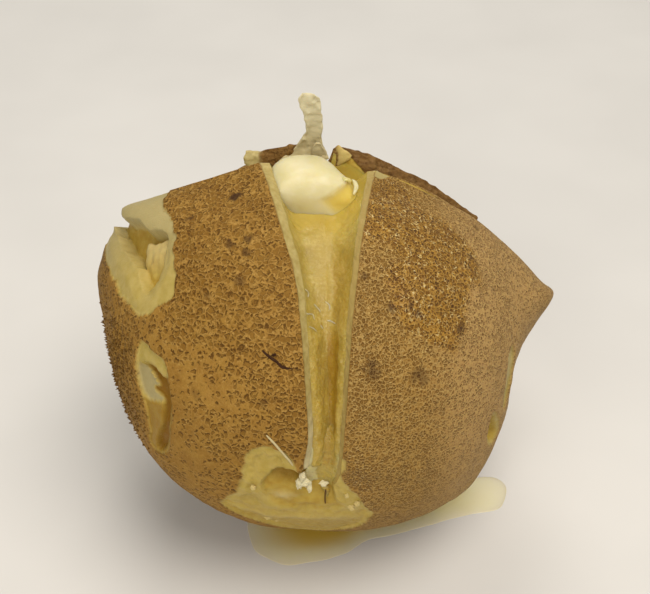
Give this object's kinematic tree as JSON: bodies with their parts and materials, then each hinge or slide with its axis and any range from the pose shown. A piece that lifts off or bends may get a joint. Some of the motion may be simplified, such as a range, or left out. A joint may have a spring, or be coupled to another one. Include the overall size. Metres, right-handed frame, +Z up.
{
  "type": "baked potato",
  "caption": "Whole baked potato with its skin on, cut crosswise through the top and squeezed open, with a pat of butter in the opening.",
  "frame": {"origin": "on the surface that the potato rests on, under the middle of its bounding box", "axes": "+Z up, -Y towards the long front slit, +X to the right as seen from the front"},
  "size_m": [0.086, 0.0734, 0.0814],
  "materials": {
    "potato_skin": "matte, finely netted, browned",
    "potato_flesh": "moist, soft and crumbly",
    "butter": "soft, smooth, melting at the edge"
  },
  "bodies": {
    "root": {"potato": "potato_skin", "butter": "butter"}
  },
  "joints": []
}
